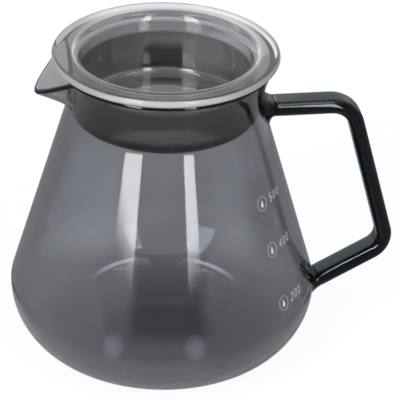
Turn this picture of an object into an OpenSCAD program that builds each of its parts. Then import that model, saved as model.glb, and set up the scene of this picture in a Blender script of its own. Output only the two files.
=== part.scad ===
// Smoked glass coffee server: a conical jug with a pouring spout, a bent bar
// handle fused on at two flared welds, and a loose cup-shaped glass lid.
// Origin: centre of the resting face. +Z is up and +X points to the handle.

/* [Jug] */
// Height of the jug from the table to the top of its rim
jug_h = 116.6; // [100:0.2:135]
// Largest outside diameter, low on the body
body_d = 112; // [100:0.5:128]
// Thickness of the blown glass wall
wall = 2; // [1.6:0.1:2.2]
// Thickness of the glass floor
floor_t = 3; // [2.5:0.1:4]
// Outside radius of the curve from the base to the widest place
base_round = 27; // [24:0.5:29]
// Outside radius of the curve from the widest place into the cone
shoulder_round = 8; // [6:0.5:14]
// Outside diameter at the narrowest place of the neck
neck_d = 71; // [67:0.5:78]
// Depth of the narrowest place of the neck below the rim
neck_drop = 15.3; // [13:0.1:18]
// Radius of the hollow curve where the cone turns into the neck
neck_round = 12; // [8:0.5:16]
// Radius of the outward flare between the neck and the rim
flare_round = 30; // [27:0.5:40]

/* [Spout] */
// Reach of the spout's tip past the rim
spout_reach = 8.2; // [7:0.2:13]
// Drop of the spout's tip below the rim
spout_drop = 9.8; // [6:0.2:11]
// Width of the spout where it leaves the rim
spout_w = 25; // [20:0.5:30]
// Height of the spout's root in the neck below the spout's tip
spout_depth = 3; // [2.6:0.2:7]
// Outside radius of the spout's tip and corners
tip_round = 2.6; // [2.4:0.1:3.4]
// Outside radius of the spout's root
root_round = 4; // [3:0.5:6]

/* [Handle] */
// Depth of the upper arm's centre line below the rim
handle_drop = 20.9; // [19.5:0.1:25]
// Length of the upper arm from the jug's glass to its corner with the grip
arm_len = 31.6; // [27:0.2:40]
// Height of the lower arm's centre line where it meets the jug's glass
lower_weld_z = 21.7; // [18:0.2:26]
// Lean of the grip from upright, outwards and down, in degrees
grip_lean = 15; // [12:0.5:18]
// Slope of the lower arm, down to the jug, in degrees
lower_slope = 28.5; // [25:0.5:32]
// Thickness of the bar in the handle's own plane
bar_t = 5.6; // [5:0.1:7]
// Width of the bar across the handle's plane
bar_w = 11; // [9:0.2:13]
// Centre line radius of the upper bend
upper_bend = 10; // [8:0.5:12]
// Centre line radius of the lower bend
lower_bend = 8; // [6.5:0.5:10]

/* [Welds] */
// Length of each flare along its arm, outside the jug's glass
weld_len = 3.4; // [3:0.2:5]
// How far each flare spreads past the bar, on every side
weld_spread = 2.8; // [2:0.2:4]

/* [Lid] */
// How far the lid's flat flange stands out past the rim
flange_overhang = 1.9; // [1:0.1:4]
// Thickness of the flange
flange_t = 3; // [2.4:0.1:3.6]
// Depth of the lid's cup below the flange
cup_depth = 23; // [18:0.5:26]
// Thickness of the cup's side
cup_wall = 2.2; // [1.8:0.1:2.6]
// Thickness of the cup's floor
cup_floor = 2.6; // [2:0.1:3.2]
// Outside radius of the cup's bottom corner
cup_round = 4.5; // [3:0.5:6]
// Radius of the edge between the flange and the cup's mouth
mouth_round = 3.2; // [1.6:0.1:3.8]
// Gap all round between the cup and the neck
lid_gap = 0.7; // [0.4:0.1:1.2]
// Gap between the flange and the rim below it
seat_gap = 0.3; // [0.2:0.05:0.5]

/* [Hidden] */
$fn = 96;

// Overrun of every cut past the faces that it opens
over = 2;
// Thickness of the thin slices that a flare is stretched between
slice_t = 0.02;
// Steps in each arc of a revolved outline
arc_steps = 12;
// Sides of the balls and discs inside a hull
hull_sides = 32;
// Widths of a weld's hollow flare, at its middle and at the jug, in shares of its spread
flare_shares = [0.3, 1];
// Place of the flare's middle, in shares of the weld's length
middle_share = 0.5;

// The jug's outline: centres of its arcs, as radius and height
body_r = body_d / 2;
neck_r = neck_d / 2;
base_centre = [body_r - base_round, base_round];
shoulder_centre = [body_r - shoulder_round, base_round];
neck_z = jug_h - neck_drop;
neck_centre = [neck_r + neck_round, neck_z];
flare_centre = [neck_r + flare_round, neck_z];
// Lean of the cone's side from upright: the line that touches the shoulder's arc and the neck's
cone_angle = asin((shoulder_round + neck_round) / norm(neck_centre - shoulder_centre))
    + atan((shoulder_centre[0] - neck_centre[0]) / (neck_z - base_round));
// Angle of the flare at the rim, and the centre of the rim's round lip
lip_r = wall / 2;
lip_angle = asin((jug_h - lip_r - neck_z) / (flare_round + lip_r));
lip_centre = flare_centre + (flare_round + lip_r) * [-cos(lip_angle), sin(lip_angle)];
rim_r = lip_centre[0] + lip_r;
// Angle at which the inner base curve meets the flat floor
floor_angle = asin((floor_t - base_round) / (base_round - wall));

// The spout: the centres of the balls at its tip, corners and root
tip_z = jug_h - spout_drop;
tip_ball = [-(rim_r + spout_reach - tip_round), 0, tip_z];
corner_y = spout_w / 2 - tip_round;
corner_x = -sqrt(pow(lip_centre[0] - lip_r, 2) - pow(corner_y, 2));
root_ball = [-(neck_r - root_round), 0, tip_z - spout_depth];
mouth_slope = atan(spout_drop / (corner_x - tip_ball[0]));

// Where each arm's centre line meets the jug's glass, as distance from the axis and height
handle_z = jug_h - handle_drop;
upper_root = [cone_r(handle_z), handle_z];
lower_root = [base_r(lower_weld_z), lower_weld_z];
// The handle's two corners. The grip ends where its line crosses the lower arm's.
upper_corner = upper_root + [arm_len, 0];
grip_fall = upper_corner - lower_root;
grip_len = (grip_fall[1] - grip_fall[0] * tan(lower_slope))
    / (cos(grip_lean) + sin(grip_lean) * tan(lower_slope));
lower_corner = upper_corner + grip_len * [sin(grip_lean), -cos(grip_lean)];
grip_angle = grip_lean - 90;
lower_angle = lower_slope - 180;
upper_setback = upper_bend * tan(-grip_angle / 2);
lower_setback = lower_bend * tan((grip_angle - lower_angle) / 2);
// Where each end of the bar meets its weld
upper_end = upper_root + [weld_len, 0];
lower_end = lower_root + weld_len * [cos(lower_slope), sin(lower_slope)];

// The lid
flange_r = rim_r + flange_overhang;
flange_z = jug_h + seat_gap;
cup_r = neck_r - wall - lid_gap;
cup_z = flange_z - cup_depth;
edge_r = flange_t / 2;
inner_r = cup_r - cup_wall;
inner_round = cup_round - cup_wall;

// Outside radius of the cone at height z
function cone_r(z) = shoulder_centre[0] + shoulder_round / cos(cone_angle)
    - (z - base_round) * tan(cone_angle);

// Outside radius of the base curve at height z
function base_r(z) = base_centre[0] + sqrt(pow(base_round, 2) - pow(base_round - z, 2));

// Points on a circle about centre c with radius r, from angle a to angle b
function arc(c, r, a, b) = [for (i = [0 : arc_steps])
    let (t = a + (b - a) * i / arc_steps) c + r * [cos(t), sin(t)]];

// Outline of the jug's side up to its lip, moved inwards by d, from angle a on the base curve
function side(d, a) = concat(
    arc(base_centre, base_round - d, a, 0),
    arc(shoulder_centre, shoulder_round - d, 0, cone_angle),
    arc(neck_centre, neck_round + d, 180 + cone_angle, 180),
    arc(flare_centre, flare_round + d, 180, 180 - lip_angle));

// Solid of revolution that fills the jug's outside
module jug_outside() {
    rotate_extrude()
        polygon(concat([[0, 0]], side(0, -90), arc(lip_centre, lip_r, -lip_angle, 90),
            [[0, jug_h]]));
}

// Space inside the jug, open at the top
module jug_inside() {
    rotate_extrude()
        polygon(concat([[0, floor_t]], side(wall, floor_angle),
            arc(lip_centre, lip_r, 180 - lip_angle, 90),
            [[lip_centre[0], jug_h + over], [0, jug_h + over]]));
}

// Beak of the spout, moved inwards by d; reach carries its back towards the axis,
// and lift carries its top upwards
module beak(d, reach, lift) {
    hull() {
        for (z = [0, lift])
            translate(tip_ball + [0, 0, z])
                sphere(r = tip_round - d, $fn = hull_sides);
        for (y = [-corner_y, corner_y], x = [corner_x, corner_x + reach], z = [0, lift])
            translate([x, y, jug_h - tip_round + z])
                sphere(r = tip_round - d, $fn = hull_sides);
        for (x = [0, reach])
            translate(root_ball + [x, 0, 0])
                sphere(r = root_round - d, $fn = hull_sides);
    }
}

// Everything above the sloping edge of the spout
module above_spout() {
    translate([corner_x, 0, jug_h])
        rotate([0, -mouth_slope, 0])
            translate([-body_r, -body_r, 0])
                cube([body_r, body_d, body_r]);
}

// One-piece blown jug, open at the neck, with its spout drawn out of the rim
module glass_body() {
    color([0.36, 0.37, 0.39, 0.55])
        difference() {
            union() {
                jug_outside();
                beak(0, 0, 0);
            }
            jug_inside();
            beak(wall, root_round + over, spout_drop + over);
            above_spout();
        }
}

// Outline of the bar's section, grown by g on every side: width along x, thickness along y
function bar_outline(g) =
    let (side_x = (bar_w - bar_t) / 2, r = bar_t / 2 + g)
    concat(arc([side_x, 0], r, -90, 90), arc([-side_x, 0], r, 90, 270));

// Direction at angle a in the handle's plane, and the normal on its upper or outer side
function direction(a) = [cos(a), sin(a)];
function normal(a) = [-sin(a), cos(a)];

// Stations of a bend about centre c with radius r, from angle a to angle b: place and angle
function bend(c, r, a, b) = [for (i = [0 : arc_steps])
    let (t = a + (b - a) * i / arc_steps) [c + r * normal(t), t]];

// Section outline at one station, standing square to the bar
function ring(station) = [for (q = bar_outline(0))
    let (p = station[0] + q[1] * normal(station[1])) [p[0], q[0], p[1]]];

// Bar from weld to weld, swept through the upper arm, the grip and the lower arm
module handle() {
    stations = concat(
        [[upper_end, 0]],
        bend(upper_corner - upper_setback * direction(0) - upper_bend * normal(0),
            upper_bend, 0, grip_angle),
        bend(lower_corner - lower_setback * direction(grip_angle) - lower_bend * normal(grip_angle),
            lower_bend, grip_angle, lower_angle),
        [[lower_end, lower_angle]]);
    rings = [for (s = stations) ring(s)];
    sides = len(rings[0]);
    last = len(rings) - 1;
    color([0.13, 0.15, 0.16])
        polyhedron(
            points = [for (r = rings, p = r) p],
            faces = concat(
                [[for (k = [0 : sides - 1]) k]],
                [for (i = [0 : last - 1], k = [0 : sides - 1])
                    let (next = (k + 1) % sides)
                    [i * sides + k, (i + 1) * sides + k, (i + 1) * sides + next, i * sides + next]],
                [[for (k = [sides - 1 : -1 : 0]) last * sides + k]]));
}

// Slice of a flare, grown by g, square to the line at angle a through point p
module flare_slice(p, a, g) {
    translate([p[0], 0, p[1]])
        rotate([90, 0, 90])
            rotate([-a, 0, 0])
                linear_extrude(slice_t)
                    polygon(bar_outline(g));
}

// Hollow flare from the bar's end, square to angle a, to a level foot inside the jug's glass
module flare(end, a, root) {
    middle = root + (end - root) * middle_share;
    foot = root - [wall, 0];
    hull() {
        flare_slice(end - slice_t * direction(a), a, 0);
        flare_slice(middle, a * middle_share, weld_spread * flare_shares[0]);
    }
    hull() {
        flare_slice(middle, a * middle_share, weld_spread * flare_shares[0]);
        flare_slice(foot, 0, weld_spread * flare_shares[1]);
    }
}

// Flared weld that joins the upper arm to the neck
module upper_handle_weld() {
    color([0.16, 0.18, 0.19])
        difference() {
            flare(upper_end, 0, upper_root);
            jug_outside();
        }
}

// Flared weld that joins the lower arm to the widest part of the body
module lower_handle_weld() {
    color([0.16, 0.18, 0.19])
        difference() {
            flare(lower_end, lower_slope, lower_root);
            jug_outside();
        }
}

// Loose glass lid: a flat flange that rests on the rim and a cup that hangs in the neck
module lid() {
    color([0.5, 0.51, 0.53, 0.6])
        rotate_extrude()
            polygon(concat(
                [[0, cup_z]],
                arc([cup_r - cup_round, cup_z + cup_round], cup_round, -90, 0),
                [[cup_r, flange_z]],
                arc([flange_r - edge_r, flange_z + edge_r], edge_r, -90, 90),
                arc([inner_r + mouth_round, flange_z + flange_t - mouth_round], mouth_round, 90, 180),
                arc([inner_r - inner_round, cup_z + cup_floor + inner_round], inner_round, 0, -90),
                [[0, cup_z + cup_floor]]));
}

glass_body();
handle();
upper_handle_weld();
lower_handle_weld();
lid();
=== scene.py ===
"""Coffee server: dresses its packed jug, handle and lid with smoked glass, level marks and a studio."""
import math

import bpy
import numpy as np
from bpy.props import FloatProperty, FloatVectorProperty, PointerProperty
from mathutils import Matrix, Vector


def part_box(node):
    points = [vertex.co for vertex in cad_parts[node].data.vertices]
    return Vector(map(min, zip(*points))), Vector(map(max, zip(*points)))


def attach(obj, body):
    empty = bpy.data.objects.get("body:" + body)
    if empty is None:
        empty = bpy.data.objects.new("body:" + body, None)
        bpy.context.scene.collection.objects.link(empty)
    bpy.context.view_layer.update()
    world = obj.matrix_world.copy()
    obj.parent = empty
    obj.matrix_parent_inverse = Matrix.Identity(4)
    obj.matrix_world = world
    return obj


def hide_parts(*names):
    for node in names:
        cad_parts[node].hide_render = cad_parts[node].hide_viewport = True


bl_info = {
    "name": "Coffee Server",
    "version": (1, 0, 0),
    "blender": (4, 5, 0),
    "location": "3D View > Sidebar > Coffee Server",
    "description": "Builds a smoked glass coffee server over its packed frame, piece by piece",
    "category": "Object",
}

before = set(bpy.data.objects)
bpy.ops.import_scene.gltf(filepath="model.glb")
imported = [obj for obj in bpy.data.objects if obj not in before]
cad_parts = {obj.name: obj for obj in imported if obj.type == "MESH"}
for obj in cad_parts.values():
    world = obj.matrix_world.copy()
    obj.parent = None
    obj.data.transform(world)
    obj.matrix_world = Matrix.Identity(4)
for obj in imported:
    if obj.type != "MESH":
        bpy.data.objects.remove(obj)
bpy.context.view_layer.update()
JUG_LOW, JUG_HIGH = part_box("glass_body")
LID_LOW, LID_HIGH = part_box("lid")

HALF_TURN = math.pi
QUARTER_TURN = math.pi / 2
WHITE = (1.0, 1.0, 1.0, 1.0)
BLACK = (0.0, 0.0, 0.0, 1.0)

# Grids: columns round the axis, how far the jug's crowd towards the spout, and the radius of the ring round
# a pole.
ROUND = 256
CROWDING = 0.68
POLE_RING = 0.0006

# The jug's floor thickens over this share of its radius. The spout's width at its root is this share of its
# width at the rim, and its sides follow this power and start this softly.
FLOOR_RISE = 0.45
SPOUT_ROOT_SHARE = 0.45
SPOUT_POWER = 1.2
SPOUT_SOFTNESS = 0.04

# The scale of each glass's slow ripple. Its fine noise is finer than the slow one by this much, and gives it
# at most this roughness.
JUG_RIPPLE = 28.0
HANDLE_RIPPLE = 60.0
LID_RIPPLE = 40.0
FINER = 6
ROUGHEST = 0.02

# The smoke's share near the cup's mouth and under its floor, and the share of painted light at the mouth's
# edge.
THIN_SMOKE = 0.5
UNDER_SMOKE = 0.85
MOUTH_PAINTED_LIGHT = 0.35

# The print: the scale of its specks, how dark they are, and its roughness in and between them.
SPECK_SCALE = 2500.0
SPECK_SHADE = 0.86
SPECK_ROUGHNESS = (0.45, 0.2)

# The camera: the width of its sensor in millimetres, and how far it sees in metres.
SENSOR_WIDTH = 36.0
FARTHEST = 50.0

# The floor: half its width, its height, the strength of its white to the camera and of the painted light
# that the glass shows on it.
FLOOR_HALF = 6.0
FLOOR_HEIGHT = -0.00005
FLOOR_WHITE = 1.08
PAINTED_GLOW_LEVEL = 2.0

# Where painted shade and painted light lie on the floor that the glass shows: first across the view, then
# away from the camera. Four numbers are the places where a patch starts, is full, is last full and ends. Two
# are where one starts and is full.
UMBRA = ((-0.0150, -0.0085, 0.0125, 0.0205), (-0.014, 0.004, 0.060, 0.065))
RIGHT_SHADE = ((0.010, 0.025), (-0.050, -0.020, 0.038, 0.058))
RIGHT_DEPTH = 0.4
LEFT_SIDE = (-0.062, -0.050, -0.028, -0.014)
RIGHT_SIDE = (0.014, 0.028, 0.032, 0.042)
RIGHT_SIDE_SHARE = 0.6
SIDES_AWAY = (0.050, 0.080, 0.120, 0.200)
REAR_LIGHT = ((-0.036, 0.012), (0.205, 0.222, 0.250, 0.270))
CUP_SHADE = ((-0.0171, -0.0145, 0.0047, 0.0073), (0.208, 0.214, 0.240, 0.256))

# The two painted crescents of light: parts of a ring round a point behind the axis, given by the ring's
# radii, the distances from the middle that they span and the places away from the camera where they start
# and are full.
RING_MIDDLE = 0.028
RING_RADII = (0.0302, 0.0314, 0.0326, 0.0338)
CRESCENT_SPAN = (0.009, 0.014, 0.019, 0.030)
CRESCENT_START = (0.028, 0.033)

# The two painted spots of light: their places across the view, how much nearer to the camera than the axis
# they lie, half their width and length, and the square at which they end. Then the shares of the painted
# light on the sides, behind the cup and in the crescents.
SPOTS_ACROSS = (-0.0175, 0.0131)
SPOTS_NEARER = 0.0095
SPOT_HALF = (0.0036, 0.0080)
SPOT_END = 2.6
SIDES_LIGHT = 0.12
REAR_SHARE = 0.45
CRESCENT_SHARE = 0.55

# Reflections lose the floor between these distances from the axis.
TABLE_EDGE = (0.064, 0.090)

# The card behind the lid: its distance from the axis, half its width, the heights of its two ends, the share
# of light at its edges, and the heights and distances from its middle between which its bright middle ends.
REAR_CARD_AWAY = 0.2
REAR_CARD_HALF = 0.055
REAR_CARD_ENDS = (0.195, 0.30)
REAR_CARD_EDGE = 0.28
REAR_CARD_TOP = (0.238, 0.216)
REAR_CARD_SIDE = (0.042, 0.024)

# The softboxes: name, turn from the camera's side in degrees, and width. Then the share of their lower end's
# depth below the table at which the faint light that is left there is full.
SOFTBOXES = (("left_softbox", -32.0, 0.66), ("right_softbox", 27.0, 0.375))
SPILL_END = 0.2

# The cards overhead: name and first and last turn from the camera's side. Then their near and far heights
# above level, all in degrees, the share of light between them, and how far from the middle it starts to grow
# and is full.
OVERHEADS = (("left_overhead", -100, -32), ("right_overhead", 26, 95))
OVERHEAD_SEEN_AT = (79, 65)
OVERHEAD_MIDDLE = 0.35
OVERHEAD_GROWTH = (0.3, 0.5)

# The room in reflections: how far up its bright part lies, as a slope, and the directions between which it
# gets bright behind, goes dark below the horizon, and loses a share on the right.
ROOM_SLOPE = 0.35
ROOM_BEHIND = (-0.35, 0.65)
ROOM_HORIZON = (-0.15, 0.15)
ROOM_RIGHT = (0.45, 0.85)
ROOM_RIGHT_LOSS = 0.7


def length(name, description, default):
    """A length property in metres."""
    return FloatProperty(name=name, description=description, default=default, unit="LENGTH", precision=5)


def angle(name, description, degrees):
    """An angle property, given in degrees and kept in radians."""
    return FloatProperty(name=name, description=description, default=math.radians(degrees), subtype="ANGLE")


def factor(name, description, default):
    """A plain number property."""
    return FloatProperty(name=name, description=description, default=default)


def colour(name, description, default):
    """A linear colour property."""
    return FloatVectorProperty(name=name, description=description, default=default, subtype="COLOR", size=3)


def loss(name, piece_name, default):
    """What a piece's glass takes out of red, green and blue light on each metre."""
    description = "Loss of red, green and blue per metre in the " + piece_name
    return FloatVectorProperty(name=name, description=description, default=default, size=3)


class JugSizes(bpy.types.PropertyGroup):
    """Sizes of the blown jug"""
    height: length("Height", "From the table to the top of the rim", JUG_HIGH[2])
    body_radius: length("Body radius", "Outside radius at the widest place", -JUG_LOW[0])
    wall: length("Wall", "Thickness of the side", 0.002)
    floor: length("Floor", "Thickness of the bottom at its centre", 0.003)
    punt: length("Punt", "How far the underside is drawn up at its centre", 0.0006)
    base_round: length("Base round", "Outside radius of the curve from the base to the widest place", 0.027)
    shoulder_round: length("Shoulder round", "Outside radius of the curve into the cone", 0.008)
    neck_radius: length("Neck radius", "Outside radius at the narrowest place", 0.0355)
    neck_drop: length("Neck drop", "Depth of the narrowest place below the rim", 0.0153)
    neck_round: length("Neck round", "Radius of the hollow curve below the neck", 0.020)
    flare_round: length("Flare round", "Radius of the outward flare above the neck", 0.030)
    spout_reach: length("Spout reach", "Distance of the spout's tip from the axis", 0.0472)
    spout_drop: length("Spout drop", "Drop of the spout's tip below the rim", 0.0103)
    spout_half: length("Spout half width", "Half the width of the spout at the rim", 0.0145)
    spout_root: length("Spout root", "Depth below the rim at which the spout leaves the neck", 0.0168)
    root_bend: length("Root bend", "Radius of the spout's bend out of the neck", 0.0022)
    tip_round: length("Tip round", "How far the spout's tip is rounded off", 0.0016)


class HandleSizes(bpy.types.PropertyGroup):
    """Sizes of the bent bar and its two flared welds"""
    drop: length("Drop", "Depth of the upper arm's centre line below the rim", 0.0209)
    arm: length("Arm", "Length of the upper arm from the glass to the corner", 0.03191)
    lower_weld: length("Lower weld", "Height of the lower arm where it meets the glass", 0.0217)
    grip_lean: angle("Grip lean", "Lean of the grip from upright, outwards and down", 15)
    lower_slope: angle("Lower slope", "Slope of the lower arm, down to the jug", 28.5)
    thickness: length("Thickness", "Thickness of the bar in the handle's plane", 0.0056)
    width: length("Width", "Width of the bar across the handle's plane", 0.011)
    upper_bend: length("Upper bend", "Centre line radius of the upper bend", 0.010)
    lower_bend: length("Lower bend", "Centre line radius of the lower bend", 0.008)
    weld_length: length("Weld length", "Length of each flare along its arm", 0.0034)
    weld_spread: length("Weld spread", "How far each flare spreads past the bar", 0.0028)
    seam: length("Seam", "Gap that separates the bar, the flares and the jug", 0.00004)
    edge: length("Edge", "Radius of the small edges at the bar's and the flares' ends", 0.0003)


class LidSizes(bpy.types.PropertyGroup):
    """Sizes of the loose lid"""
    flange_radius: length("Flange radius", "Outside radius of the flange", LID_HIGH[0])
    top: length("Top", "Height of the flange's upper face", LID_HIGH[2])
    flange: length("Flange", "Thickness of the flange", 0.003)
    bottom: length("Bottom", "Height of the cup's underside", LID_LOW[2])
    cup_radius: length("Cup radius", "Outside radius of the cup", 0.0328)
    cup_wall: length("Cup wall", "Thickness of the cup's side", 0.0022)
    cup_floor: length("Cup floor", "Thickness of the cup's floor", 0.0026)
    cup_round: length("Cup round", "Outside radius of the cup's bottom corner", 0.0045)
    mouth_round: length("Mouth round", "Radius of the edge between the flange and the mouth", 0.0032)
    root_round: length("Root round", "Radius of the corner between cup and flange", 0.0008)


class MarkSizes(bpy.types.PropertyGroup):
    """Sizes and places of the printed level marks"""
    azimuth: angle("Azimuth", "Turn of the rings' centres about the axis from the handle", -43.6)
    upper: length("Upper level", "Height of the upper mark", 0.0718)
    middle: length("Middle level", "Height of the middle mark", 0.0546)
    lower: length("Lower level", "Height of the lower mark", 0.0345)
    ring_radius: length("Ring radius", "Radius of the ring round each drop", 0.0026)
    ring_line: length("Ring line", "Width of the ring's line", 0.00014)
    drop_radius: length("Drop radius", "Radius of the round end of each drop", 0.00078)
    drop_length: length("Drop length", "Length of each drop", 0.0029)
    figure: length("Figure", "Height of the figures", 0.0029)
    figure_width: length("Figure width", "Width of each figure", 0.0019)
    figure_step: length("Figure step", "Distance from one figure to the next", 0.0029)
    figure_line: length("Figure line", "Width of the figures' lines", 0.00027)
    slant: angle("Slant", "Slant of the figures", 12)
    first: length("First figure", "Distance from a ring's centre to the middle of its first figure", 0.0058)
    lift: length("Lift", "Gap between the glass and the print's back", 0.00002)
    ink_depth: length("Ink depth", "Thickness of the print", 0.00005)


class GlassFinish(bpy.types.PropertyGroup):
    """Tints of the three glasses, as what each takes out of light per metre, and the print's colour"""
    jug_loss: loss("Jug loss", "jug", (300.0, 288.0, 267.0))
    handle_loss: loss("Handle loss", "bar", (700.0, 560.0, 500.0))
    lid_loss: loss("Lid loss", "lid", (110.0, 112.0, 106.0))
    cup_tint: colour("Cup tint", "What the coat on the cup's side lets through", (0.070, 0.062, 0.056))
    # Painted light on the lid's bead and mouth edge: a white matt share of this colour, mixed in by the next
    # share, stands in for the light that the glass gathers there.
    painted_edge_colour: colour("Haze", "Colour of the fire-polished edges, which scatter light", (0.80, 0.82, 0.86))
    painted_edge_light: factor("Edge haze", "Share of the light that a fire-polished edge scatters", 0.34)
    handle_shine: colour("Handle shine", "Tint of the handle's reflections", (0.84, 0.92, 1.0))
    bend: factor("Bend", "Refractive index of the glass", 1.47)
    ripple: length("Ripple", "Height of the blown glass's slow ripple", 0.00003)
    ink: colour("Ink", "Colour of the printed marks", (0.60, 0.61, 0.64))


class StageSizes(bpy.types.PropertyGroup):
    """Camera, lamps, floor and surroundings"""
    azimuth: angle("Azimuth", "Turn of the camera about the jug, from looking along +Y", -9)
    elevation: angle("Elevation", "Height of the camera above level", 28.91)
    roll: angle("Roll", "Turn of the picture", 1.381)
    distance: length("Distance", "From the camera to the point that it looks at", 1.120)
    aim_x: length("Aim across", "How far the aimed point lies to the right of the axis, as seen", 0.01337)
    aim_z: length("Aim height", "The aimed point's height", 0.05915)
    lens: factor("Lens", "Focal length in millimetres, on a sensor 36 mm wide", 275.34)
    softbox_level: factor("Softbox level", "Radiance of the softboxes", 10.8)
    softbox_reach: length("Softbox reach", "Distance of the softboxes from the jug", 2.0)
    softbox_foot: length("Softbox foot", "Height above which a softbox is fully bright", 0.165)
    softbox_fade: length("Softbox fade", "Height over which a softbox's foot fades", 0.088)
    softbox_spill: factor("Softbox spill", "Share of a softbox's level that is left below its foot", 0.025)
    softbox_end: length("Softbox end", "Height of a softbox's lower end, below the table", -0.45)
    softbox_top: length("Softbox top", "Height of a softbox's upper end", 2.6)
    room_level: factor("Room level", "Radiance of the room for matt surfaces", 0.45)
    front_gloss: factor("Front gloss", "Radiance of the room in reflections, at the camera's side", 0.25)
    back_gloss: factor("Back gloss", "Radiance of the room in reflections, behind and above", 0.80)
    card_gloss: factor("Card gloss", "Radiance of the small card behind the lid", 3.6)
    table_gloss: factor("Table gloss", "Share of the floor that reflections keep, away from the jug", 0.2)
    overhead_level: factor("Overhead level", "Radiance of the two cards overhead, in reflections", 11.0)
    overhead_height: length("Overhead height", "Height of the two cards overhead", 1.5)
    through_share: factor("Through share", "Share of even light on the floor that glass shows", 0.5)
    # Painted shade and light in the floor's colour, seen only through glass: the darkest painted shade
    # between the lamps, the painted shadow of the cup and two painted spots of light.
    painted_umbra: factor("Umbra", "Share of that light which the darkest shadow, between the lamps, takes", 0.95)
    painted_cup_shadow: factor("Cup shadow", "Depth of the shadow that the lid's cup throws behind the jug", 0.8)
    painted_caustic: factor("Caustic", "Strength of the two spots of light on the floor", 0.23)
    through_level: factor("Through level", "Brightness of floor and room through glass", 0.66)
    floor_glow: factor("Floor glow", "Share of the floor that stays white to the camera", 0.85)


class Link:
    """A shader socket with Python's operators, each of which adds one Math node to the same tree."""

    def __init__(self, tree, socket):
        self.tree = tree
        self.socket = socket

    def _math(self, operation, first, second):
        return self.tree.add("ShaderNodeMath", "Value", {"operation": operation}, {0: first, 1: second})

    def __add__(self, other):
        return self._math("ADD", self, other)

    def __sub__(self, other):
        return self._math("SUBTRACT", self, other)

    def __rsub__(self, other):
        return self._math("SUBTRACT", other, self)

    def __mul__(self, other):
        return self._math("MULTIPLY", self, other)

    __radd__ = __add__
    __rmul__ = __mul__


class Tree:
    """A node tree that is written as expressions."""

    def __init__(self, tree):
        self.tree = tree
        tree.nodes.clear()

    def add(self, kind, output, settings=None, inputs=None):
        """Adds a node of a kind with its settings, fills its inputs with values or links, and returns one
        output."""
        node = self.tree.nodes.new(kind)
        for key, value in (settings or {}).items():
            setattr(node, key, value)
        for key, value in (inputs or {}).items():
            if isinstance(value, Link):
                self.tree.links.new(value.socket, node.inputs[key])
            else:
                node.inputs[key].default_value = value
        return Link(self, node.outputs[output]) if output is not None else node

    def place(self):
        """The place on the piece, in metres."""
        return self.add("ShaderNodeTexCoord", "Object")

    def round_axis(self, place):
        """(square of the distance from the Z axis, height) of a place."""
        parts = self.add("ShaderNodeSeparateXYZ", None, None, {0: place})
        x, y, z = (Link(self, socket) for socket in parts.outputs)
        return x * x + y * y, z

    def path(self, kind):
        """Tells what kind of ray sees the surface: 1 for the kind that is named, 0 for the others."""
        return self.add("ShaderNodeLightPath", kind)

    def mirrored(self):
        """1 for a ray that a glossy surface has just mirrored, 0 for the others."""
        return self.path("Is Reflection Ray") * self.path("Is Glossy Ray")

    def dot(self, vector, other):
        """The dot product of two vectors."""
        return self.add("ShaderNodeVectorMath", "Value", {"operation": "DOT_PRODUCT"}, {0: vector, 1: other})

    def length(self, vector):
        """The length of a vector."""
        return self.add("ShaderNodeVectorMath", "Value", {"operation": "LENGTH"}, {0: vector})

    def ramp(self, value, low, high):
        """Grows smoothly from 0 where value is low to 1 where it is high."""
        return self.add("ShaderNodeMapRange", "Result", {"interpolation_type": "SMOOTHSTEP"}, {
            "Value": value, "From Min": low, "From Max": high})

    def stretch(self, value, start, full, last, end):
        """0 up to start, 1 from full to last, 0 again from end on, with slopes between."""
        return self.ramp(value, start, full) * self.ramp(value, end, last)

    def noise(self, place, scale, detail):
        """A soft noise between 0 and 1."""
        return self.add("ShaderNodeTexNoise", "Fac", None, {
            "Vector": place, "Scale": scale, "Detail": detail})

    def blend(self, share, first, second):
        """The first colour where share is 0, the second where it is 1."""
        return self.add("ShaderNodeMix", 2, {"data_type": "RGBA"}, {0: share, 6: first, 7: second})

    def grey(self, level):
        """A grey of a level between 0 and 1."""
        return self.blend(level, BLACK, WHITE)

    def glow(self, shade, strength):
        """A surface that gives off light of a colour."""
        return self.add("ShaderNodeEmission", "Emission", None, {"Color": shade, "Strength": strength})

    def clear(self):
        """A surface that lets everything through."""
        return self.add("ShaderNodeBsdfTransparent", "BSDF")

    def mix(self, share, first, second):
        """The first surface where share is 0, the second where it is 1."""
        return self.add("ShaderNodeMixShader", "Shader", None, {0: share, 1: first, 2: second})

    def end(self, surface, **others):
        """Joins the surface, and a volume where there is one, to the material's output."""
        self.add("ShaderNodeOutputMaterial", None, None, {"Surface": surface, **others})


def material(name):
    """A new material and its tree."""
    made = bpy.data.materials.new(name)
    made.use_nodes = True
    return made, Tree(made.node_tree)


def squares(*lengths):
    """The square of each length, for comparing with squares of distances."""
    return [each ** 2 for each in lengths]


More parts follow.
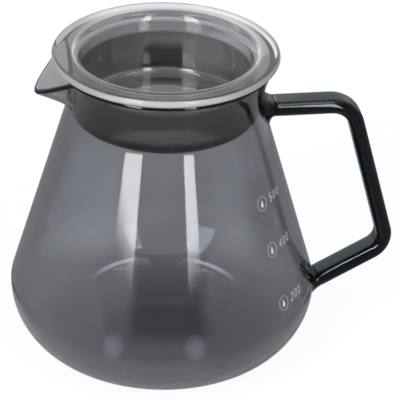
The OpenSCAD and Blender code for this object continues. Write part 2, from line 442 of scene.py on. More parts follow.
def glass(name, taken, finish, scale, coat=None, edges=None, shine=(1.0, 1.0, 1.0)):
    """Tinted clear glass. Its depth sets its tint by what is taken of red, green and blue per metre, a slow
    noise ripples it, and lamps and soft light pass through. A coat gives the surface a colour, and edges
    says where a white matt share paints light on it. Both are worked out from the tree and the place on the
    piece."""
    made, tree = material(name)
    place = tree.place()
    face = coat(tree, place) if coat else WHITE
    slow = tree.noise(place, scale, 1.0)
    fine = tree.noise(place, scale * FINER, 3.0)
    bump = tree.add("ShaderNodeBump", "Normal", None, {
        "Height": slow, "Distance": finish.ripple, "Strength": 1.0})
    surface = tree.add("ShaderNodeBsdfPrincipled", "BSDF", None, {
        "Base Color": face,
        "Roughness": ROUGHEST * fine,
        "IOR": finish.bend,
        "Transmission Weight": 1.0,
        "Specular Tint": (*shine, 1.0),
        "Normal": bump,
    })
    if edges:
        # Painted light: a white matt share on the masked edges.
        matt = tree.add("ShaderNodeBsdfDiffuse", "BSDF", None, {"Color": (*finish.painted_edge_colour, 1.0)})
        surface = tree.mix(finish.painted_edge_light * edges(tree, place), surface, matt)
    soft = tree.path("Is Shadow Ray") + tree.path("Is Diffuse Ray")
    density = max(taken) * 2
    tint = [1 - part / density for part in taken]
    depth = tree.add("ShaderNodeVolumeAbsorption", "Volume", None, {
        "Color": (*tint, 1.0), "Density": density})
    tree.end(tree.mix(soft, surface, tree.clear()), Volume=depth)
    return made


def cup_coat(sizes, tint):
    """The smoke on the lid: a band of tint round the outside of the cup, thinner near its mouth, and a ring
    of it under the cup's floor. The flange and the middle of the floor are clear."""
    bottom, top = sizes.bottom, sizes.top
    foot = (bottom + 0.0004, bottom + 0.0010)
    step = (top - 0.0085, top - 0.0070)
    head = (top - 0.0042, top - 0.0034)
    floor = (bottom + 0.0024, bottom + 0.0016)
    hole = squares(0.0200, 0.0215)
    skin = squares(sizes.cup_radius - 0.6 * sizes.cup_wall, sizes.cup_radius)

    def band(tree, place):
        flat, z = tree.round_axis(place)
        dense = tree.stretch(z, *foot, *step)
        thin = tree.stretch(z, *step, *head)
        side = tree.ramp(flat, *skin) * (dense + THIN_SMOKE * thin)
        under = tree.ramp(z, *floor) * tree.ramp(flat, *hole)
        return tree.blend(side + UNDER_SMOKE * under, WHITE, (*tint, 1.0))

    return band


def lid_painted_edges(sizes):
    """Where the lid gets painted light from a white matt share: its outer bead and the edge of its mouth."""
    inner = sizes.cup_radius - sizes.cup_wall
    bend = sizes.mouth_round
    bead = squares(sizes.flange_radius - 0.0011, sizes.flange_radius - 0.0003)
    upper = (sizes.top - 1.2 * bend, sizes.top - 0.5 * bend)
    mouth = squares(inner + 1.3 * bend, inner + 0.6 * bend)

    def edges(tree, place):
        flat, z = tree.round_axis(place)
        return tree.ramp(flat, *bead) + MOUTH_PAINTED_LIGHT * tree.ramp(z, *upper) * tree.ramp(flat, *mouth)

    return edges


def print_ink(name, ink):
    """Baked white print: a matt body with a fine speckle in its colour."""
    made, tree = material(name)
    speck = tree.noise(tree.place(), SPECK_SCALE, 2.0)
    shade = tree.blend(speck, (*(SPECK_SHADE * part for part in ink), 1.0), (*ink, 1.0))
    least, growth = SPECK_ROUGHNESS
    tree.end(tree.add("ShaderNodeBsdfPrincipled", "BSDF", None, {
        "Base Color": shade, "Roughness": least + growth * speck}))
    return made


def arc(centre, radius, start, end, steps):
    """Points on a circle: centre + radius * (cos t, sin t), with t from start to end."""
    t = np.linspace(start, end, steps)
    return np.stack([centre[0] + radius * np.cos(t), centre[1] + radius * np.sin(t)], axis=-1)


def straight(start, end, steps):
    """Points on the line start + (end - start) * t, without its two ends."""
    t = np.linspace(0, 1, steps + 2)[1:-1, None]
    return np.asarray(start) + (np.asarray(end) - np.asarray(start)) * t


def smooth(t):
    """3 t^2 - 2 t^3 with t held between 0 and 1."""
    t = np.clip(t, 0, 1)
    return t * t * (3 - 2 * t)


def column_angles(crowding):
    """Angles of a grid's columns: a = s + c sin s for even steps of s, which crowds them round -X by c."""
    s = np.arange(ROUND) * 2 * HALF_TURN / ROUND
    return s + crowding * np.sin(s)


def revolve(profile, crowding=0.0):
    """Turns a profile of (radius, height) round Z: (r cos a, r sin a, z) for each column's angle a."""
    a = column_angles(crowding)
    r, z = profile[:, :1], profile[:, 1:]
    return np.stack([r * np.cos(a), r * np.sin(a), z + 0 * a], axis=-1)


def surface_normals(grid):
    """Unit normals of a grid that closes round its columns: the cross product of its two slopes."""
    along = np.gradient(grid, axis=0)
    across = np.roll(grid, -1, axis=1) - np.roll(grid, 1, axis=1)
    n = np.cross(across, along)
    return n / np.linalg.norm(n, axis=-1, keepdims=True)


def closed_mesh(grid, start, end):
    """(points, faces) of a grid whose columns close round and whose end rows close on two poles."""
    rows, cols, _ = grid.shape
    points = np.concatenate([grid.reshape(-1, 3), [start], [end]])
    row = np.arange(rows - 1)[:, None] * cols
    col = np.arange(cols)[None, :]
    after = (col + 1) % cols
    quads = np.stack([row + col, row + after, row + cols + after, row + cols + col], axis=-1).reshape(-1, 4)
    first, last = rows * cols, rows * cols + 1
    top = (rows - 1) * cols
    col, after = col[0], after[0]
    fans = [np.stack([np.full(cols, first), after, col], axis=-1),
            np.stack([np.full(cols, last), top + col, top + after], axis=-1)]
    return points, quads.tolist() + np.concatenate(fans).tolist()


def piece(name, points, faces, finish, body, slot, *nodes):
    """Makes a shaded piece of the object that rides on a body and stands for nodes. Its slot is not used."""
    mesh = bpy.data.meshes.new(name)
    mesh.from_pydata(np.asarray(points).tolist(), [], faces)
    mesh.polygons.foreach_set("use_smooth", np.ones(len(mesh.polygons), bool))
    mesh.update()
    mesh.materials.append(finish)
    made = bpy.data.objects.new(name, mesh)
    bpy.context.scene.collection.objects.link(made)
    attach(made, body)
    if nodes:
        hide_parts(*nodes)


class JugShape:
    """Outline and skins of the jug, worked out from its sizes."""

    def __init__(self, sizes):
        self.sizes = sizes
        s = sizes
        self.neck_z = s.height - s.neck_drop
        self.base = np.array([s.body_radius - s.base_round, s.base_round])
        self.shoulder = np.array([s.body_radius - s.shoulder_round, s.base_round])
        self.neck = np.array([s.neck_radius + s.neck_round, self.neck_z])
        self.flare = np.array([s.neck_radius + s.flare_round, self.neck_z])
        across = self.neck - self.shoulder
        rounds = s.shoulder_round + s.neck_round
        self.lean = math.asin(rounds / np.hypot(*across)) - math.atan(across[0] / across[1])
        self.lip_angle = math.asin((s.height - s.wall / 2 - self.neck_z) / (s.flare_round + s.wall / 2))

    def side(self, inset):
        """Outline from the base curve's foot to the lip, moved inwards: four arcs and a straight cone."""
        s = self.sizes
        shoulder = arc(self.shoulder, s.shoulder_round - inset, 0, self.lean, 16)
        neck = arc(self.neck, s.neck_round + inset, HALF_TURN + self.lean, HALF_TURN, 20)
        return np.concatenate([
            arc(self.base, s.base_round - inset, -QUARTER_TURN, 0, 56)[:-1],
            shoulder,
            straight(shoulder[-1], neck[0], 22),
            neck[:-1],
            arc(self.flare, s.flare_round + inset, HALF_TURN, HALF_TURN - self.lip_angle, 36),
        ])

    def radius(self, z):
        """Outside radius at height z, from the outline."""
        outline = self.side(0)
        return np.interp(z, outline[:, 1], outline[:, 0])

    def middle(self):
        """(outline of the middle of the glass, its thickness), from near the floor's centre to the rim."""
        s = self.sizes
        side = self.side(s.wall / 2)
        r = np.linspace(POLE_RING, self.base[0], 26)[:-1]
        rise = smooth((self.base[0] - r) / (self.base[0] * FLOOR_RISE))
        floor_z = s.wall / 2 + rise * ((s.floor - s.wall) / 2 + s.punt)
        outline = np.concatenate([np.stack([r, floor_z], axis=-1), side])
        thick = np.full(len(outline), s.wall)
        thick[:len(r)] += rise * (s.floor - s.wall)
        return outline, thick

    def spout_line(self, t):
        """Middle of the glass along the spout's keel at the shares t of its length: an arc out of the neck
        and a straight run to the tip."""
        s = self.sizes
        start = np.array([s.neck_radius - s.wall / 2, s.height - s.spout_root])
        tip = np.array([s.spout_reach - s.wall / 2, s.height - s.spout_drop])
        centre = start + [s.root_bend, 0]
        across = tip - centre
        turn = HALF_TURN - math.atan2(across[1], across[0]) - math.acos(s.root_bend / np.hypot(*across))
        bend = arc(centre, s.root_bend, HALF_TURN, HALF_TURN - turn, 12)
        keel = np.concatenate([bend, tip[None]])
        way = np.concatenate([[0], np.cumsum(np.hypot(*np.diff(keel, axis=0).T))])
        return np.stack([np.interp(t * way[-1], way, part) for part in keel.T], axis=-1)

    def drawn(self, grid, outline):
        """The middle surface with the spout drawn out: near the rim each column is mixed with the spout's
        keel by 1 - (d / w)^p, with d the distance from the handle's plane, rounded at the keel, and w the
        half width. The share is softened where it starts by c log(1 + e^(share / c))."""
        s = self.sizes
        low = s.height - s.spout_root
        t = np.clip((outline[:, 1:] - low) / (s.height - s.wall / 2 - low), 0, 1)
        keel = self.spout_line(t[:, 0])
        a = column_angles(CROWDING)
        off = np.sqrt((np.sin(a) * outline[-1, 0]) ** 2 + s.tip_round ** 2) - s.tip_round
        half = s.spout_half * (SPOUT_ROOT_SHARE + (1 - SPOUT_ROOT_SHARE) * t)
        wedge = 1 - (off / half) ** SPOUT_POWER
        share = np.clip(SPOUT_SOFTNESS * np.logaddexp(0, wedge / SPOUT_SOFTNESS), 0, 1)
        share = np.where((np.cos(a) < 0) & (t > 0), share, 0)[..., None]
        pull = np.stack([outline[:, 0] - keel[:, 0], 0 * t[:, 0], keel[:, 1] - outline[:, 1]], axis=-1)
        return grid + share * pull[:, None]

    def skin(self):
        """Closed skin of the glass: the middle surface moved out and in by half its thickness, and a half
        round lip between the two."""
        outline, thick = self.middle()
        middle = self.drawn(revolve(outline, CROWDING), outline)
        normal = surface_normals(middle)
        half = thick[:, None, None] / 2
        outer, inner = middle + normal * half, middle - normal * half
        rim, out = middle[-1], normal[-1]
        up = rim - middle[-2]
        up = up - (up * out).sum(-1, keepdims=True) * out
        up /= np.linalg.norm(up, axis=-1, keepdims=True)
        t = np.linspace(0, HALF_TURN, 15)[1:-1, None, None]
        lip = rim + half[-1] * (out * np.cos(t) + up * np.sin(t))
        grid = np.concatenate([outer, lip, inner[::-1]])
        foot = (0, 0, outer[0, 0, 2])
        floor = (0, 0, inner[0, 0, 2])
        return closed_mesh(grid, foot, floor)


class HandleShape:
    """Stations and sections of the bar and its welds, worked out from their sizes."""

    def __init__(self, sizes, jug):
        self.sizes = sizes
        self.jug = jug
        s = sizes
        z = jug.sizes.height - s.drop
        self.upper_root = np.array([jug.radius(z), z])
        self.lower_root = np.array([jug.radius(s.lower_weld), s.lower_weld])
        self.upper_corner = self.upper_root + [s.arm, 0]
        fall = self.upper_corner - self.lower_root
        slope = math.tan(s.lower_slope)
        grip = (fall[1] - fall[0] * slope) / (math.cos(s.grip_lean) + math.sin(s.grip_lean) * slope)
        down = np.array([math.sin(s.grip_lean), -math.cos(s.grip_lean)])
        self.lower_corner = self.upper_corner + grip * down
        self.upper_end = self.upper_root + [s.weld_length, 0]
        self.lower_end = self.lower_root + s.weld_length * self.direction(s.lower_slope)

    @staticmethod
    def direction(a):
        """(cos a, sin a) in the handle's plane."""
        return np.stack([np.cos(a), np.sin(a)], axis=-1)

    def section(self, grown):
        """Outline of the bar's section, grown on every side: two half circles joined by straight sides, as
        (across, up) for each point."""
        s = self.sizes
        r = s.thickness / 2 + grown
        side = (s.width - s.thickness) / 2
        right = arc((side, 0), r, -QUARTER_TURN, QUARTER_TURN, 25)
        left = arc((-side, 0), r, QUARTER_TURN, 3 * QUARTER_TURN, 25)
        across = 8
        return np.concatenate([
            right, straight(right[-1], left[0], across),
            left, straight(left[-1], right[0], across),
        ])

    def stations(self):
        """(place, angle) of each section along the bar: straight runs between two round bends."""
        s = self.sizes
        bend_steps, upper_steps, grip_steps, lower_steps = 40, 24, 30, 20
        grip = s.grip_lean - QUARTER_TURN
        arm = s.lower_slope - HALF_TURN
        places, angles = [], []
        for corner, radius, start, end in ((self.upper_corner, s.upper_bend, 0.0, grip),
                                           (self.lower_corner, s.lower_bend, grip, arm)):
            setback = radius * math.tan((start - end) / 2)
            normal = self.direction(start + QUARTER_TURN)
            centre = corner - setback * self.direction(start) - radius * normal
            t = np.linspace(start, end, bend_steps)
            places.append(centre + radius * self.direction(t + QUARTER_TURN))
            angles.append(t)
        upper, lower = places
        first = self.upper_end + [s.seam, 0]
        last = self.lower_end + s.seam * self.direction(s.lower_slope)
        runs = [
            first[None], straight(first, upper[0], upper_steps), upper,
            straight(upper[-1], lower[0], grip_steps), lower,
            straight(lower[-1], last, lower_steps), last[None],
        ]
        turns = [
            np.zeros(1 + upper_steps), angles[0],
            np.full(grip_steps, grip), angles[1],
            np.full(lower_steps + 1, arm),
        ]
        return np.concatenate(runs), np.concatenate(turns)

    def sweep(self, places, angles, outlines):
        """Carries outlines of (across, up) along places in the handle's plane, each square to its angle."""
        up = self.direction(angles + QUARTER_TURN)
        flat = places[:, None, :] + outlines[..., 1:2] * up[:, None, :]
        return np.stack([flat[..., 0], outlines[..., 0], flat[..., 1]], axis=-1)

    def bar(self):
        """The bar's skin, with its two end edges rounded."""
        s = self.sizes
        places, angles = self.stations()
        steps = 5
        t = np.linspace(0, QUARTER_TURN, steps)
        inward = s.edge * (1 - np.cos(t))[:, None]
        first = places[0] + inward * self.direction(np.full(steps, angles[0]))
        last = places[-1] - inward * self.direction(np.full(steps, angles[-1]))
        end = np.stack([self.section(-w) for w in s.edge * (1 - np.sin(t))])
        plain = np.repeat(self.section(0)[None], len(places) - 2, axis=0)
        places = np.concatenate([first, places[1:-1], last[::-1]])
        angles = np.concatenate([np.full(steps, angles[0]), angles[1:-1], np.full(steps, angles[-1])])
        grid = self.sweep(places, angles, np.concatenate([end, plain, end[::-1]]))
        return closed_mesh(grid, grid[0].mean(0), grid[-1].mean(0))

    def weld(self, end, root, slope):
        """A hollow flare: its sections grow with the square of the way from the bar's end to the jug, and
        its foot lies on the jug's side, where x = sqrt(R(z)^2 - y^2) with R the jug's outside radius at
        height z. It starts and ends with rows that close its two faces, down to a tenth and a twentieth of
        their size."""
        s = self.sizes
        face, flare, foot = 6, 24, 10
        way = np.concatenate([np.zeros(face), np.linspace(0, 1, flare + 1)[1:], np.ones(foot)])
        opening = np.linspace(0.1, 1, face + 1)[:-1]
        closing = np.linspace(1, 0.05, foot + 1)[1:]
        size = np.concatenate([opening, np.ones(flare), closing])
        grow = s.weld_spread * way ** 2
        outlines = np.stack([self.section(g) for g in grow]) * size[:, None, None]
        start = self.sweep(np.repeat(end[None], len(way), 0), np.full(len(way), slope), outlines)
        across, up = outlines[..., 0], outlines[..., 1] + root[1]
        depth = np.sqrt(self.jug.radius(up) ** 2 - across ** 2) + s.seam
        on_jug = np.stack([depth, across, up], axis=-1)
        w = way[:, None, None]
        grid = ((1 - w) * start + w * on_jug)[:, ::-1]
        return closed_mesh(grid, grid[0].mean(0), grid[-1].mean(0))


class LevelMarks:
    """Print on the jug's side, drawn flat as (along, up) from each mark's place and laid on the glass."""

    def __init__(self, sizes, jug):
        self.sizes = sizes
        self.jug = jug
        self.points = []
        self.faces = []

    def laid(self, flat, height):
        """Lays flat points on the cone: the azimuth is a + along / R(height), the height grows by up times
        the cosine of the cone's lean, and the radius is the jug's own there plus the lift."""
        s = self.sizes
        z = height + flat[..., 1] * math.cos(self.jug.lean)
        a = s.azimuth + flat[..., 0] / self.jug.radius(height)
        out = s.lift + flat[..., 2]
        r = self.jug.radius(z) + out * math.cos(self.jug.lean)
        return np.stack([r * np.cos(a), r * np.sin(a), z + out * math.sin(self.jug.lean)], axis=-1)

    def add(self, grid, height, looped):
        """Adds one strip: a grid of its points by its four edges, closed on itself or capped at its ends."""
        rows, cols, _ = grid.shape
        base = len(self.points)
        self.points += self.laid(grid, height).reshape(-1, 3).tolist()
        row = np.arange(rows if looped else rows - 1)[:, None] * cols
        above = (row + cols) % (rows * cols)
        col = np.arange(cols)[None, :]
        after = (col + 1) % cols
        quads = np.stack([row + col, row + after, above + after, above + col], axis=-1).reshape(-1, 4)
        self.faces += (quads + base).tolist()
        if not looped:
            self.faces += [[base + 3, base + 2, base + 1, base],
                           [base + (rows - 1) * cols + k for k in range(cols)]]

    def stroke(self, line, width, height, looped=False):
        """A flat line with a width: each point moved half the width to either side of its tangent, and given
        the print's thickness."""
        if looped:
            along = np.roll(line, -1, axis=0) - np.roll(line, 1, axis=0)
        else:
            along = np.gradient(line, axis=0)
        along /= np.linalg.norm(along, axis=-1, keepdims=True)
        left = np.stack([-along[:, 1], along[:, 0]], axis=-1) * width / 2
        depth = self.sizes.ink_depth
        edges = [(line - left, 0), (line + left, 0), (line + left, depth), (line - left, depth)]
        raised = [np.concatenate([edge, np.full((len(line), 1), up)], axis=-1) for edge, up in edges]
        self.add(np.stack(raised, axis=1), height, looped)

    def figure(self, number, centre, height):
        """One figure on a unit box from (-1, -1) to (1, 1), scaled, slanted and moved to its centre."""
        s = self.sizes
        for line, looped in FIGURES[number]():
            up = line[:, 1] * s.figure / 2
            along = line[:, 0] * s.figure_width / 2 + up * math.tan(s.slant) + centre
            self.stroke(np.stack([along, up], axis=-1), s.figure_line, height, looped)

    def drop(self, height):
        """A solid drop: a line down its middle whose width is that of a cone and its round end."""
        s = self.sizes
        t = np.linspace(0.02, 0.98, 24)
        up = s.drop_length * (0.5 - t)
        end = up + s.drop_length / 2 - s.drop_radius
        wide = np.where(end > 0, s.drop_radius * (1 - end / (s.drop_length - s.drop_radius)) ** 1.1,
                        np.sqrt(np.maximum(s.drop_radius ** 2 - end ** 2, 0)))
        line = np.stack([0 * up, up], axis=-1)
        self.stroke(line, 2 * wide[:, None], height)

    def mark(self, number, height):
        """A ring, its drop and a row of figures."""
        s = self.sizes
        a = np.linspace(0, 2 * HALF_TURN, 49)[:-1]
        self.stroke(s.ring_radius * np.stack([np.cos(a), np.sin(a)], axis=-1), s.ring_line, height, True)
        self.drop(height)
        for place, figure in enumerate(number):
            self.figure(figure, s.first + place * s.figure_step, height)


def figure_nought():
    """An upright oval: (cos a, sin a)."""
    a = np.linspace(0, 2 * HALF_TURN, 33)[:-1]
    return [(np.stack([0.86 * np.cos(a), np.sin(a)], axis=-1), True)]


def figure_two():
    """An arc of a little more than half a turn, a slope down to the left and a foot."""
    head = arc((0, 0.42), 0.6, math.radians(165), math.radians(-35), 16) * [1.25, 1]
    corner = (-0.85, -1)
    return [(np.concatenate([head, straight(head[-1], corner, 6), [corner]]), False),
            (np.linspace(corner, (0.85, -1), 6), False)]


def figure_four():
    """A slope down to the left with a bar, and an upright."""
    slope = np.linspace((0.3, 1), (-0.9, -0.4), 8)
    bar = np.linspace((-0.7, -0.4), (0.9, -0.4), 8)
    upright = np.linspace((0.42, 0.25), (0.42, -1), 6)
    return [(np.concatenate([slope, bar]), False), (upright, False)]


def figure_five():
    """A bar, an upright and a round belly."""
    belly = arc((-0.05, -0.36), 0.64, math.radians(125), math.radians(-145), 18) * [1.3, 1]
    bar = np.linspace((0.8, 1), (-0.55, 1), 5)
    upright = np.linspace((-0.6, 0.8), (-0.75, 0.1), 5)
    return [(np.concatenate([bar, upright]), False), (belly, False)]


FIGURES = {"0": figure_nought, "2": figure_two, "4": figure_four, "5": figure_five}


def lid_profile(s):
    """Outline of the lid, from its underside's centre, out, up, over the flange and down into the cup."""
    edge = s.flange / 2
    under = s.top - s.flange
    inner = s.cup_radius - s.cup_wall
    inner_round = s.cup_round - s.cup_wall
    floor = s.bottom + s.cup_floor
    corner = arc((s.cup_radius - s.cup_round, s.bottom + s.cup_round), s.cup_round, -QUARTER_TURN, 0, 16)
    middle = (s.cup_radius + s.root_round, under - s.root_round)
    root = arc(middle, s.root_round, HALF_TURN, QUARTER_TURN, 8)
    rim = arc((s.flange_radius - edge, under + edge), edge, -QUARTER_TURN, QUARTER_TURN, 24)
    middle = (inner + s.mouth_round, s.top - s.mouth_round)
    mouth = arc(middle, s.mouth_round, QUARTER_TURN, HALF_TURN, 14)
    heel = arc((inner - inner_round, floor + inner_round), inner_round, 0, -QUARTER_TURN, 12)
    first, last = (POLE_RING, s.bottom), (POLE_RING, floor)
    return np.concatenate([
        [first], straight(first, corner[0], 14), corner,
        straight(corner[-1], root[0], 14), root,
        straight(root[-1], rim[0], 8), rim,
        straight(rim[-1], mouth[0], 10), mouth,
        straight(mouth[-1], heel[0], 14), heel,
        straight(heel[-1], last, 14), [last],
    ])


def directions(turn):
    """The level direction at a turn from X, (cos a, sin a, 0), and the one a quarter turn on from it."""
    return (Vector((math.cos(turn), math.sin(turn), 0)), Vector((-math.sin(turn), math.cos(turn), 0)))


class ServerOperator:
    """What the operators share."""
    bl_options = {"REGISTER", "UNDO"}


class SERVER_OT_jug(ServerOperator, bpy.types.Operator):
    """Blown jug with its drawn spout, in smoked glass"""
    bl_idname = "server.jug"
    bl_label = "Jug"

    def execute(self, context):
        scene = context.scene
        finish = scene.server_finish
        tint = glass("smoked glass", finish.jug_loss, finish, JUG_RIPPLE)
        points, faces = JugShape(scene.server_jug).skin()
        piece("jug_glass", points, faces, tint, "jug", "smoked_glass", "glass_body")
        return {"FINISHED"}


class SERVER_OT_handle(ServerOperator, bpy.types.Operator):
    """Bent bar handle and its two flared welds, in dark smoked glass"""
    bl_idname = "server.handle"
    bl_label = "Handle"

    def execute(self, context):
        scene = context.scene
        finish = scene.server_finish
        tint = glass("dark glass", finish.handle_loss, finish, HANDLE_RIPPLE, shine=finish.handle_shine)
        shape = HandleShape(scene.server_handle, JugShape(scene.server_jug))
        piece("handle_bar", *shape.bar(), tint, "jug", "dark_glass", "handle")
        upper = shape.weld(shape.upper_end, shape.upper_root, 0.0)
        piece("upper_weld", *upper, tint, "jug", "dark_glass", "upper_handle_weld")
        lower = shape.weld(shape.lower_end, shape.lower_root, scene.server_handle.lower_slope)
        piece("lower_weld", *lower, tint, "jug", "dark_glass", "lower_handle_weld")
        return {"FINISHED"}


class SERVER_OT_lid(ServerOperator, bpy.types.Operator):
    """Loose lid: a flat flange round a hollow cup, in grey glass"""
    bl_idname = "server.lid"
    bl_label = "Lid"

    def execute(self, context):
        scene = context.scene
        finish = scene.server_finish
        coat = cup_coat(scene.server_lid, finish.cup_tint)
        # The lid's bead and mouth edge get painted light.
        edges = lid_painted_edges(scene.server_lid)
        tint = glass("lid glass", finish.lid_loss, finish, LID_RIPPLE, coat, edges)
        grid = revolve(lid_profile(scene.server_lid))
        points, faces = closed_mesh(grid, (0, 0, grid[0, 0, 2]), (0, 0, grid[-1, 0, 2]))
        piece("lid_glass", points, faces, tint, "lid", "lid_glass", "lid")
        return {"FINISHED"}


class SERVER_OT_marks(ServerOperator, bpy.types.Operator):
    """Printed level marks on the jug's side: a ring with a drop, and a plain number, at three heights"""
    bl_idname = "server.marks"
    bl_label = "Level marks"

    def execute(self, context):
        scene = context.scene
        sizes = scene.server_marks
        marks = LevelMarks(sizes, JugShape(scene.server_jug))
        for number, height in (("500", sizes.upper), ("400", sizes.middle), ("200", sizes.lower)):
            marks.mark(number, height)
        ink = print_ink("level print", scene.server_finish.ink)
        piece("level_marks", marks.points, marks.faces, ink, "jug", "smoked_glass")
        return {"FINISHED"}


class SERVER_OT_stage(ServerOperator, bpy.types.Operator):
    """Camera, floor, softboxes, cards and room"""
    bl_idname = "server.stage"
    bl_label = "Stage"

    def execute(self, context):
        s = context.scene.server_stage
        self.camera(context.scene, s)
        self.floor(s)
        self.lamps(s)
        self.rear_card(s)
        self.overhead(s)
        self.room(context.scene, s)
        context.scene.view_settings.view_transform = "Standard"
        return {"FINISHED"}

    def camera(self, scene, s):
        """The camera stands back from a point beside the axis, turned about the jug, raised and rolled."""
        across, away = directions(s.azimuth)
        back = math.sin(s.elevation) * Vector((0, 0, 1)) - math.cos(s.elevation) * away
        up = back.cross(across)
        right = math.cos(s.roll) * across + math.sin(s.roll) * up
        up = math.cos(s.roll) * up - math.sin(s.roll) * across
        place = s.aim_x * across + s.aim_z * Vector((0, 0, 1)) + s.distance * back
        data = bpy.data.cameras.new("camera")
        data.lens = s.lens
        data.sensor_width = SENSOR_WIDTH
        data.clip_end = FARTHEST
        made = bpy.data.objects.new("camera", data)
        made.matrix_world = Matrix.Translation(place) @ Matrix((right, up, back)).transposed().to_4x4()
        scene.collection.objects.link(made)
        scene.camera = made

    def floor(self, s):
        """A wide white floor just under the jug, which keeps a soft shadow. Painted shade and light lie on
        it
        that only the glass shows: painted shade where the jug's shadow would lie, a lighter painted side on
        either hand, a painted square of shade for the cup's shadow in a painted glow behind the jug, two
        painted crescents and two painted spots of light. Reflections see it only near the jug."""
        corners = [(x * FLOOR_HALF, y * FLOOR_HALF, FLOOR_HEIGHT)
                   for x, y in ((-1, -1), (1, -1), (1, 1), (-1, 1))]
        mesh = bpy.data.meshes.new("floor")
        mesh.from_pydata(corners, [], [(0, 1, 2, 3)])
        made = bpy.data.objects.new("floor", mesh)
        bpy.context.scene.collection.objects.link(made)
        finish, tree = material("white floor")
        mesh.materials.append(finish)
        through = tree.path("Is Transmission Ray")
        place = tree.place()
        across, depth = (tree.dot(place, way) for way in directions(s.azimuth))
        # Painted shade and painted light in the floor's colour, which only the glass shows.
        shade, light = self.painted_floor_shade(tree, s, across, depth)
        cup = tree.stretch(across, *CUP_SHADE[0]) * tree.stretch(depth, *CUP_SHADE[1])
        matt = tree.add("ShaderNodeBsdfDiffuse", "BSDF", None, {"Color": (*[s.through_level] * 3, 1.0)})
        mixed = tree.mix(s.floor_glow * tree.path("Is Camera Ray"), matt, tree.glow(WHITE, FLOOR_WHITE))
        mixed = tree.mix(shade * through, mixed, tree.glow(WHITE, s.through_level))
        mixed = tree.mix(light * through, mixed, tree.glow(WHITE, PAINTED_GLOW_LEVEL))
        # A painted square of shade where the cup's shadow would fall behind the jug.
        mixed = tree.mix(s.painted_cup_shadow * cup * through, mixed, tree.glow(BLACK, 1.0))
        away = tree.ramp(tree.length(place), *TABLE_EDGE)
        tree.end(tree.mix((1 - s.table_gloss) * tree.mirrored() * away, mixed, tree.clear()))

    def painted_floor_shade(self, tree, s, across, depth):
        """(share of even light, share of painted light) on the floor that the glass shows, from the place
        across the view and away from the camera. Painted shade takes part of the even share and the lighter
        painted sides add to it. A crescent is where a ring round a point behind the axis is cut by its
        distance from the middle, and a spot fades with (x / a)^2 + (y / b)^2."""
        sides = tree.stretch(across, *LEFT_SIDE) + RIGHT_SIDE_SHARE * tree.stretch(across, *RIGHT_SIDE)
        sides = sides * tree.stretch(depth, *SIDES_AWAY)
        # Painted shade: darkest where the shadows of both lamps would meet, and a weaker painted shade on
        # the right.
        painted_umbra = tree.stretch(across, *UMBRA[0]) * tree.stretch(depth, *UMBRA[1])
        right = tree.ramp(across, *RIGHT_SHADE[0]) * tree.stretch(depth, *RIGHT_SHADE[1])
        even = s.through_share + (1 - s.through_share) * sides
        even = even * (1 - s.painted_umbra * painted_umbra) * (1 - RIGHT_DEPTH * right)
        rear = tree.ramp(across, *REAR_LIGHT[0]) * tree.stretch(depth, *REAR_LIGHT[1])
        beyond = depth - RING_MIDDLE
        crescents = tree.stretch(across * across + beyond * beyond, *squares(*RING_RADII))
        crescents = crescents * tree.stretch(across * across, *squares(*CRESCENT_SPAN))
        crescents = crescents * tree.ramp(depth, *CRESCENT_START)
        # Painted light: the lighter sides, a glow behind the cup, the crescents and the spots.
        gathered = SIDES_LIGHT * sides + REAR_SHARE * rear + CRESCENT_SHARE * crescents
        for middle in SPOTS_ACROSS:
            wide = (across - middle) * (1 / SPOT_HALF[0])
            long = (depth + SPOTS_NEARER) * (1 / SPOT_HALF[1])
            spot = tree.ramp(wide * wide + long * long, SPOT_END, 0.0)
            gathered = gathered + s.painted_caustic * spot * spot
        return even, gathered

    def card(self, name, corners, finish):
        """A flat card that only reflections and glass see, and that is no lamp."""
        finish.cycles.emission_sampling = "NONE"
        mesh = bpy.data.meshes.new(name)
        mesh.from_pydata([tuple(corner) for corner in corners], [], [(0, 3, 2, 1)])
        mesh.materials.append(finish)
        made = bpy.data.objects.new(name, mesh)
        made.visible_camera = False
        made.visible_diffuse = False
        made.visible_shadow = False
        bpy.context.scene.collection.objects.link(made)

    def upright(self, middle, side, half, low, high):
        """Corners of an upright card round a middle, from low to high."""
        return [middle + k * half * side + Vector((0, 0, z))
                for k, z in ((-1, low), (1, low), (1, high), (-1, high))]

    def rear_card(self, s):
        """A small bright card behind the jug, in the place that the lid's flat faces mirror to the camera.
        Only reflections see it."""
        finish, tree = material("rear card")
        place = tree.place()
        side, away = directions(s.azimuth)
        across = tree.dot(place, side)
        middle = tree.ramp(tree.dot(place, (0, 0, 1)), *REAR_CARD_TOP)
        middle = middle * tree.ramp(across * across, *squares(*REAR_CARD_SIDE))
        glow = tree.glow(tree.grey(REAR_CARD_EDGE + (1 - REAR_CARD_EDGE) * middle), s.card_gloss)
        tree.end(tree.mix(tree.mirrored(), tree.clear(), glow))
        corners = self.upright(REAR_CARD_AWAY * away, side, REAR_CARD_HALF, *REAR_CARD_ENDS)
        self.card("rear_card", corners, finish)

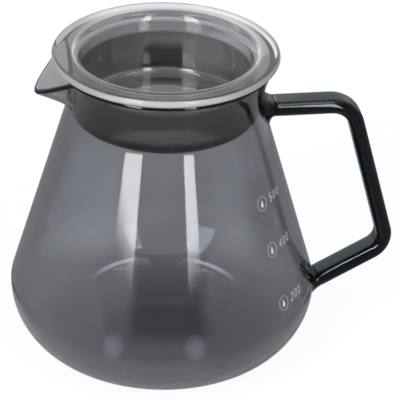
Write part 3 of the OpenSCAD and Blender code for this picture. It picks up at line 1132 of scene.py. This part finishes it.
    def lamps(self, s):
        """Two upright softboxes beside the camera, each placed by its turn from the camera's side. A lamp
        lights the matt surfaces, and a card in its place is what the glass mirrors."""
        tall = s.softbox_top - s.softbox_foot
        finish, tree = material("softbox")
        height = tree.dot(tree.place(), (0, 0, 1))
        spill = s.softbox_spill * tree.ramp(height, s.softbox_end, SPILL_END * s.softbox_end)
        fade = (1 - s.softbox_spill) * tree.ramp(height, s.softbox_foot - s.softbox_fade, s.softbox_foot)
        tree.end(tree.glow(tree.grey(spill + fade), s.softbox_level))
        for name, turn, wide in SOFTBOXES:
            away, side = directions(s.azimuth - QUARTER_TURN + math.radians(turn))
            data = bpy.data.lights.new(name, "AREA")
            data.shape = "RECTANGLE"
            data.size = wide
            data.size_y = tall
            data.energy = s.softbox_level * math.pi * wide * tall
            made = bpy.data.objects.new(name, data)
            middle = s.softbox_reach * away + Vector((0, 0, s.softbox_foot + tall / 2))
            facing = (-away).to_track_quat("-Z", "Y").to_matrix().to_4x4()
            made.matrix_world = Matrix.Translation(middle) @ facing
            made.visible_glossy = False
            made.visible_transmission = False
            bpy.context.scene.collection.objects.link(made)
            corners = self.upright(s.softbox_reach * away, side, wide / 2, s.softbox_end, s.softbox_top)
            self.card(name + "_card", corners, finish)

    def overhead(self, s):
        """Two level cards overhead, each a part of a ring: between two turns from the camera's side and
        between two heights above level as the jug sees them."""
        finish, tree = material("overhead card")
        across = tree.dot(tree.place(), directions(s.azimuth)[0])
        growth = tree.ramp(across * across, *squares(*OVERHEAD_GROWTH))
        level = tree.grey(OVERHEAD_MIDDLE + (1 - OVERHEAD_MIDDLE) * growth)
        tree.end(tree.glow(level, s.overhead_level))
        near, far = (s.overhead_height / math.tan(math.radians(seen)) for seen in OVERHEAD_SEEN_AT)
        for name, *ends in OVERHEADS:
            first, last = (s.azimuth - QUARTER_TURN + math.radians(turn) for turn in ends)
            corners = [(reach * math.cos(turn), reach * math.sin(turn), s.overhead_height)
                       for reach, turn in ((near, first), (near, last), (far, last), (far, first))]
            self.card(name, corners, finish)

    def room(self, scene, s):
        """White to the camera, a plain level for matt surfaces and through glass, and for reflections a room
        that is dark at the camera's side and bright behind and above the jug."""
        world = bpy.data.worlds.new("room")
        world.use_nodes = True
        scene.world = world
        tree = Tree(world.node_tree)
        seen = tree.path("Is Camera Ray")
        through = tree.path("Is Transmission Ray")
        way = tree.add("ShaderNodeTexCoord", "Generated")
        side, away = directions(s.azimuth)
        behind = tree.ramp(tree.dot(way, away + Vector((0, 0, ROOM_SLOPE))), *ROOM_BEHIND)
        above = tree.ramp(tree.dot(way, (0, 0, 1)), *ROOM_HORIZON)
        right = tree.ramp(tree.dot(way, side), *ROOM_RIGHT)
        gloss = (s.back_gloss - s.front_gloss) * behind * above * (1 - ROOM_RIGHT_LOSS * right)
        plain = s.room_level + (1 - s.room_level) * seen + (s.through_level - s.room_level) * through
        level = plain + tree.mirrored() * (s.front_gloss + gloss - plain)
        sky = tree.add("ShaderNodeBackground", "Background", None, {
            "Color": tree.grey(level), "Strength": 1.0})
        tree.add("ShaderNodeOutputWorld", None, None, {"Surface": sky})


class SERVER_PT_panel(bpy.types.Panel):
    """Lists the pieces of the coffee server"""
    bl_idname = "SERVER_PT_panel"
    bl_label = "Coffee Server"
    bl_space_type = "VIEW_3D"
    bl_region_type = "UI"
    bl_category = "Coffee Server"

    def draw(self, context):
        for operator in OPERATORS:
            self.layout.operator(operator.bl_idname)


OPERATORS = (SERVER_OT_stage, SERVER_OT_jug, SERVER_OT_handle, SERVER_OT_lid, SERVER_OT_marks)
GROUPS = {
    "server_jug": JugSizes,
    "server_handle": HandleSizes,
    "server_lid": LidSizes,
    "server_marks": MarkSizes,
    "server_finish": GlassFinish,
    "server_stage": StageSizes,
}


def register():
    for group in GROUPS.values():
        bpy.utils.register_class(group)
    for name, group in GROUPS.items():
        setattr(bpy.types.Scene, name, PointerProperty(type=group))
    for operator in OPERATORS:
        bpy.utils.register_class(operator)
    bpy.utils.register_class(SERVER_PT_panel)


def unregister():
    bpy.utils.unregister_class(SERVER_PT_panel)
    for operator in reversed(OPERATORS):
        bpy.utils.unregister_class(operator)
    for name in GROUPS:
        delattr(bpy.types.Scene, name)
    for group in reversed(GROUPS.values()):
        bpy.utils.unregister_class(group)


def main():
    register()
    bpy.ops.server.stage()
    bpy.ops.server.jug()
    bpy.ops.server.handle()
    bpy.ops.server.lid()
    bpy.ops.server.marks()


if __name__ == "__main__":
    main()
